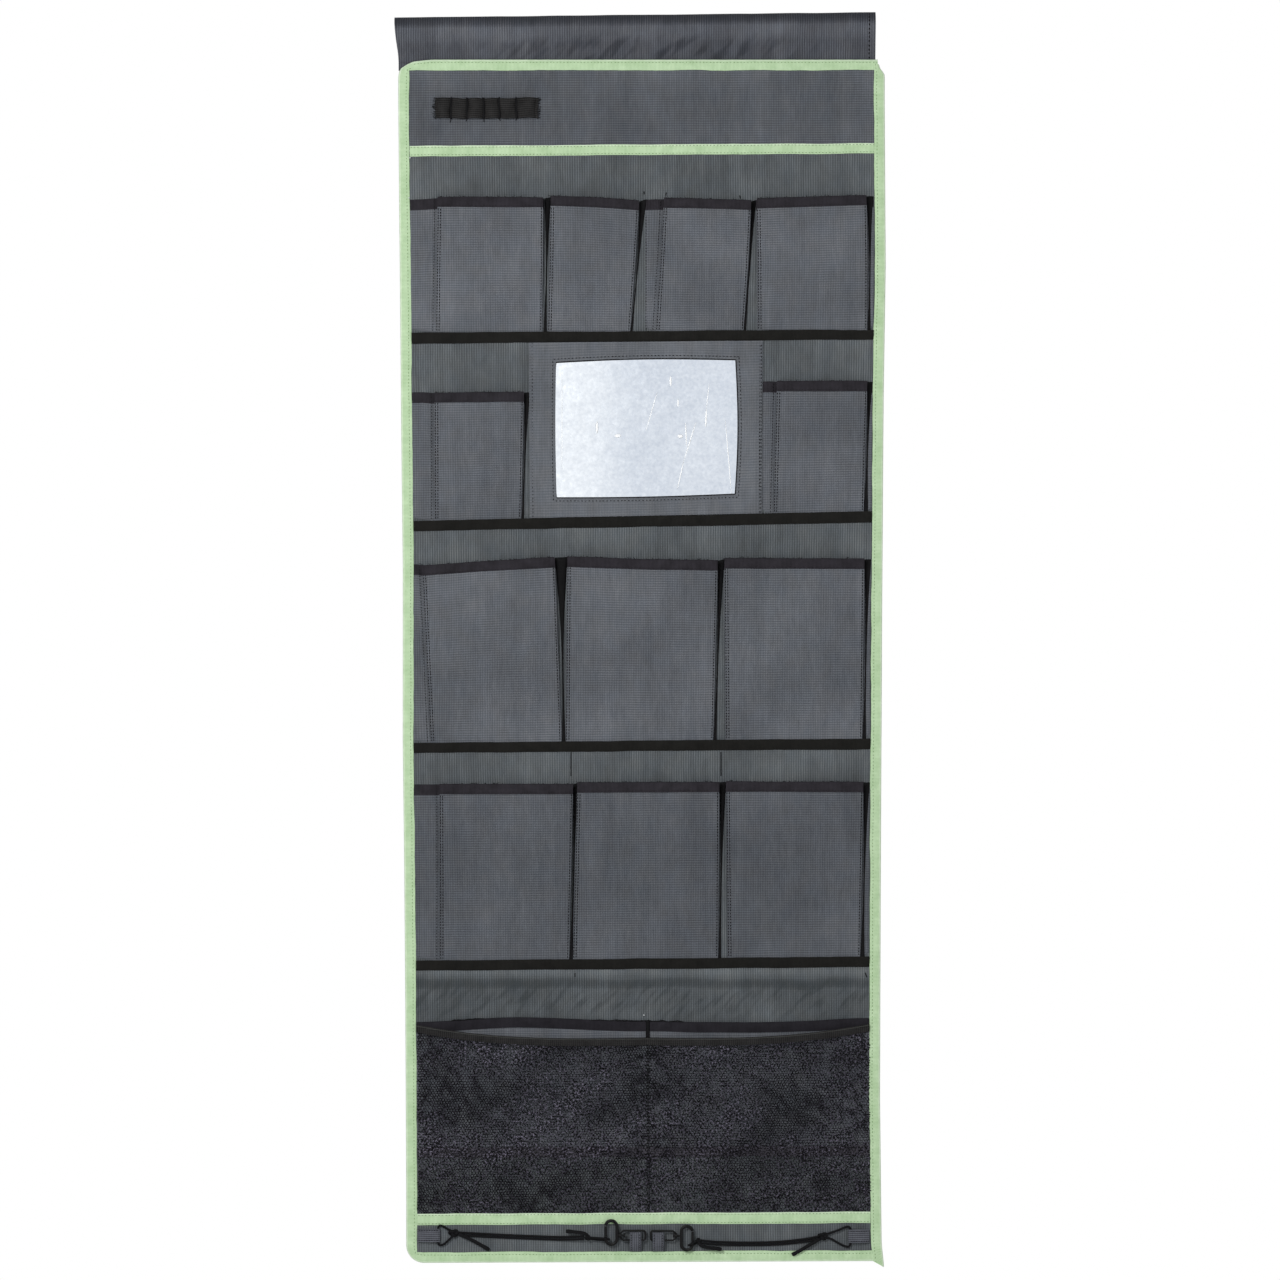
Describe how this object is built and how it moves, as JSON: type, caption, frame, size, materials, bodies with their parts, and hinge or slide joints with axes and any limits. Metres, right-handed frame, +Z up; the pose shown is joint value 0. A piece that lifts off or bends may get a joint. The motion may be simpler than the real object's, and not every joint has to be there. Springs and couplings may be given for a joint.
{
  "type": "hanging organizer",
  "caption": "Tall cloth organizer that hangs from a pole: swing-out pockets, a mirror, net pockets, utensil loops, and tie cords with swivel hooks.",
  "frame": {"origin": "on the pole's axis in the hanging sleeve, at the middle of the panel's width", "axes": "+Z up, +X to the right as seen from the front, and the pockets face -Y"},
  "size_m": [0.4885, 0.0335, 1.253],
  "materials": {
    "grey_polyester": "ribbed polyester cloth, matt",
    "sleeve_polyester": "ribbed polyester cloth, darker, matt",
    "green_binding": "pale green woven binding tape",
    "hem_tape": "dark folded hem tape",
    "black_tape": "black woven tape",
    "black_elastic": "ribbed black elastic",
    "black_net": "knitted diamond net",
    "grey_webbing": "woven webbing",
    "black_plastic": "moulded, satin",
    "black_cord": "braided cord",
    "mirror_sheet": "silvered plastic sheet, slightly uneven"
  },
  "bodies": {
    "root": {"hanging_sleeve": "sleeve_polyester", "header_panel": "grey_polyester", "back_panel": "grey_polyester", "edge_binding": "green_binding", "right_binding": "green_binding", "header_tape": "green_binding", "utensil_elastic": "black_elastic", "row1_tape": "black_tape", "row2_tape": "black_tape", "row3_tape": "black_tape", "row4_tape": "black_tape", "row5_tape": "black_tape", "mirror_frame": "grey_polyester", "mirror": "mirror_sheet", "inner_pockets": "grey_polyester", "inner_pocket_hem": "hem_tape", "net_pocket": "black_net", "net_elastic": "black_elastic", "net_tape": "green_binding", "left_side_tab": "grey_webbing", "right_side_tab": "grey_webbing", "left_cord": "black_cord", "right_cord": "black_cord"},
    "row1_pocket_1": {"row1_pocket_1": "grey_polyester", "row1_hem_1": "hem_tape"},
    "row1_pocket_2": {"row1_pocket_2": "grey_polyester", "row1_hem_2": "hem_tape"},
    "row1_pocket_3": {"row1_pocket_3": "grey_polyester", "row1_hem_3": "hem_tape"},
    "row1_pocket_4": {"row1_pocket_4": "grey_polyester", "row1_hem_4": "hem_tape"},
    "row2_pocket_1": {"row2_pocket_1": "grey_polyester", "row2_hem_1": "hem_tape"},
    "row2_pocket_2": {"row2_pocket_2": "grey_polyester", "row2_hem_2": "hem_tape"},
    "row3_pocket_1": {"row3_pocket_1": "grey_polyester", "row3_hem_1": "hem_tape"},
    "row3_pocket_2": {"row3_pocket_2": "grey_polyester", "row3_hem_2": "hem_tape"},
    "row3_pocket_3": {"row3_pocket_3": "grey_polyester", "row3_hem_3": "hem_tape"},
    "row4_pocket_1": {"row4_pocket_1": "grey_polyester", "row4_hem_1": "hem_tape"},
    "row4_pocket_2": {"row4_pocket_2": "grey_polyester", "row4_hem_2": "hem_tape"},
    "row4_pocket_3": {"row4_pocket_3": "grey_polyester", "row4_hem_3": "hem_tape"},
    "left_tab": {"left_centre_tab": "grey_webbing", "left_eye_ring": "black_plastic"},
    "left_hook": {"left_snap_hook": "black_plastic", "left_cord_end": "black_cord"},
    "left_gate": {"left_hook_gate": "black_plastic"},
    "right_tab": {"right_centre_tab": "grey_webbing", "right_eye_ring": "black_plastic"},
    "right_hook": {"right_snap_hook": "black_plastic", "right_cord_end": "black_cord"},
    "right_gate": {"right_hook_gate": "black_plastic"}
  },
  "joints": [
    {"name": "row1_pocket_1_hinge", "type": "hinge", "parent": "root", "child": "row1_pocket_1", "pos_m": [-0.15115, -0.00465, -0.3046], "axis": [1, 0, 0], "range_deg": [0, 14], "stiffness_Nm_per_rad": 0.03, "springref_deg": -2.86},
    {"name": "row1_pocket_2_hinge", "type": "hinge", "parent": "root", "child": "row1_pocket_2", "pos_m": [-0.05035, -0.00465, -0.3046], "axis": [1, 0, 0], "range_deg": [0, 14], "stiffness_Nm_per_rad": 0.03, "springref_deg": -2.86},
    {"name": "row1_pocket_3_hinge", "type": "hinge", "parent": "root", "child": "row1_pocket_3", "pos_m": [0.06025, -0.00465, -0.3046], "axis": [1, 0, 0], "range_deg": [0, 14], "stiffness_Nm_per_rad": 0.03, "springref_deg": -2.86},
    {"name": "row1_pocket_4_hinge", "type": "hinge", "parent": "root", "child": "row1_pocket_4", "pos_m": [0.166, -0.00465, -0.3046], "axis": [1, 0, 0], "range_deg": [0, 14], "stiffness_Nm_per_rad": 0.03, "springref_deg": -2.86},
    {"name": "row2_pocket_1_hinge", "type": "hinge", "parent": "root", "child": "row2_pocket_1", "pos_m": [-0.1629, -0.00465, -0.4899], "axis": [1, 0, 0], "range_deg": [0, 14], "stiffness_Nm_per_rad": 0.03, "springref_deg": -2.86},
    {"name": "row2_pocket_2_hinge", "type": "hinge", "parent": "root", "child": "row2_pocket_2", "pos_m": [0.17705, -0.00465, -0.4899], "axis": [1, 0, 0], "range_deg": [0, 14], "stiffness_Nm_per_rad": 0.03, "springref_deg": -2.86},
    {"name": "row3_pocket_1_hinge", "type": "hinge", "parent": "root", "child": "row3_pocket_1", "pos_m": [-0.1513, -0.00465, -0.7136], "axis": [1, 0, 0], "range_deg": [0, 10.5], "stiffness_Nm_per_rad": 0.03, "springref_deg": -2.86},
    {"name": "row3_pocket_2_hinge", "type": "hinge", "parent": "root", "child": "row3_pocket_2", "pos_m": [-0.00125, -0.00465, -0.7136], "axis": [1, 0, 0], "range_deg": [0, 10.5], "stiffness_Nm_per_rad": 0.03, "springref_deg": -2.86},
    {"name": "row3_pocket_3_hinge", "type": "hinge", "parent": "root", "child": "row3_pocket_3", "pos_m": [0.1518, -0.00465, -0.7136], "axis": [1, 0, 0], "range_deg": [0, 10.5], "stiffness_Nm_per_rad": 0.03, "springref_deg": -2.86},
    {"name": "row4_pocket_1_hinge", "type": "hinge", "parent": "root", "child": "row4_pocket_1", "pos_m": [-0.13825, -0.00465, -0.9319], "axis": [1, 0, 0], "range_deg": [0, 10.5], "stiffness_Nm_per_rad": 0.03, "springref_deg": -2.86},
    {"name": "row4_pocket_2_hinge", "type": "hinge", "parent": "root", "child": "row4_pocket_2", "pos_m": [0.00525, -0.00465, -0.9319], "axis": [1, 0, 0], "range_deg": [0, 10.5], "stiffness_Nm_per_rad": 0.03, "springref_deg": -2.86},
    {"name": "row4_pocket_3_hinge", "type": "hinge", "parent": "root", "child": "row4_pocket_3", "pos_m": [0.15325, -0.00465, -0.9319], "axis": [1, 0, 0], "range_deg": [0, 10.5], "stiffness_Nm_per_rad": 0.03, "springref_deg": -2.86},
    {"name": "left_tab_fold", "type": "hinge", "parent": "root", "child": "left_tab", "pos_m": [-0.0075, -0.00535, -1.225], "axis": [1, 0, 0], "range_deg": [0, 90], "stiffness_Nm_per_rad": 0.02, "springref_deg": -2.86},
    {"name": "left_hook_swivel", "type": "hinge", "parent": "left_tab", "child": "left_hook", "pos_m": [-0.0242, -0.00835, -1.2088], "axis": [1, 0, 0], "range_deg": [-8, 8]},
    {"name": "left_gate_hinge", "type": "hinge", "parent": "left_hook", "child": "left_gate", "pos_m": [-0.0374, -0.00835, -1.1997], "axis": [0, -1, 0], "range_deg": [0, 25], "stiffness_Nm_per_rad": 0.01, "springref_deg": -5.73},
    {"name": "right_tab_fold", "type": "hinge", "parent": "root", "child": "right_tab", "pos_m": [0.0153, -0.00535, -1.225], "axis": [1, 0, 0], "range_deg": [0, 90], "stiffness_Nm_per_rad": 0.02, "springref_deg": -2.86},
    {"name": "right_hook_swivel", "type": "hinge", "parent": "right_tab", "child": "right_hook", "pos_m": [0.03435, -0.00835, -1.2091], "axis": [1, 0, 0], "range_deg": [-8, 8]},
    {"name": "right_gate_hinge", "type": "hinge", "parent": "right_hook", "child": "right_gate", "pos_m": [0.04945, -0.00835, -1.2052], "axis": [0, 1, 0], "range_deg": [0, 25], "stiffness_Nm_per_rad": 0.01, "springref_deg": -5.73}
  ]
}
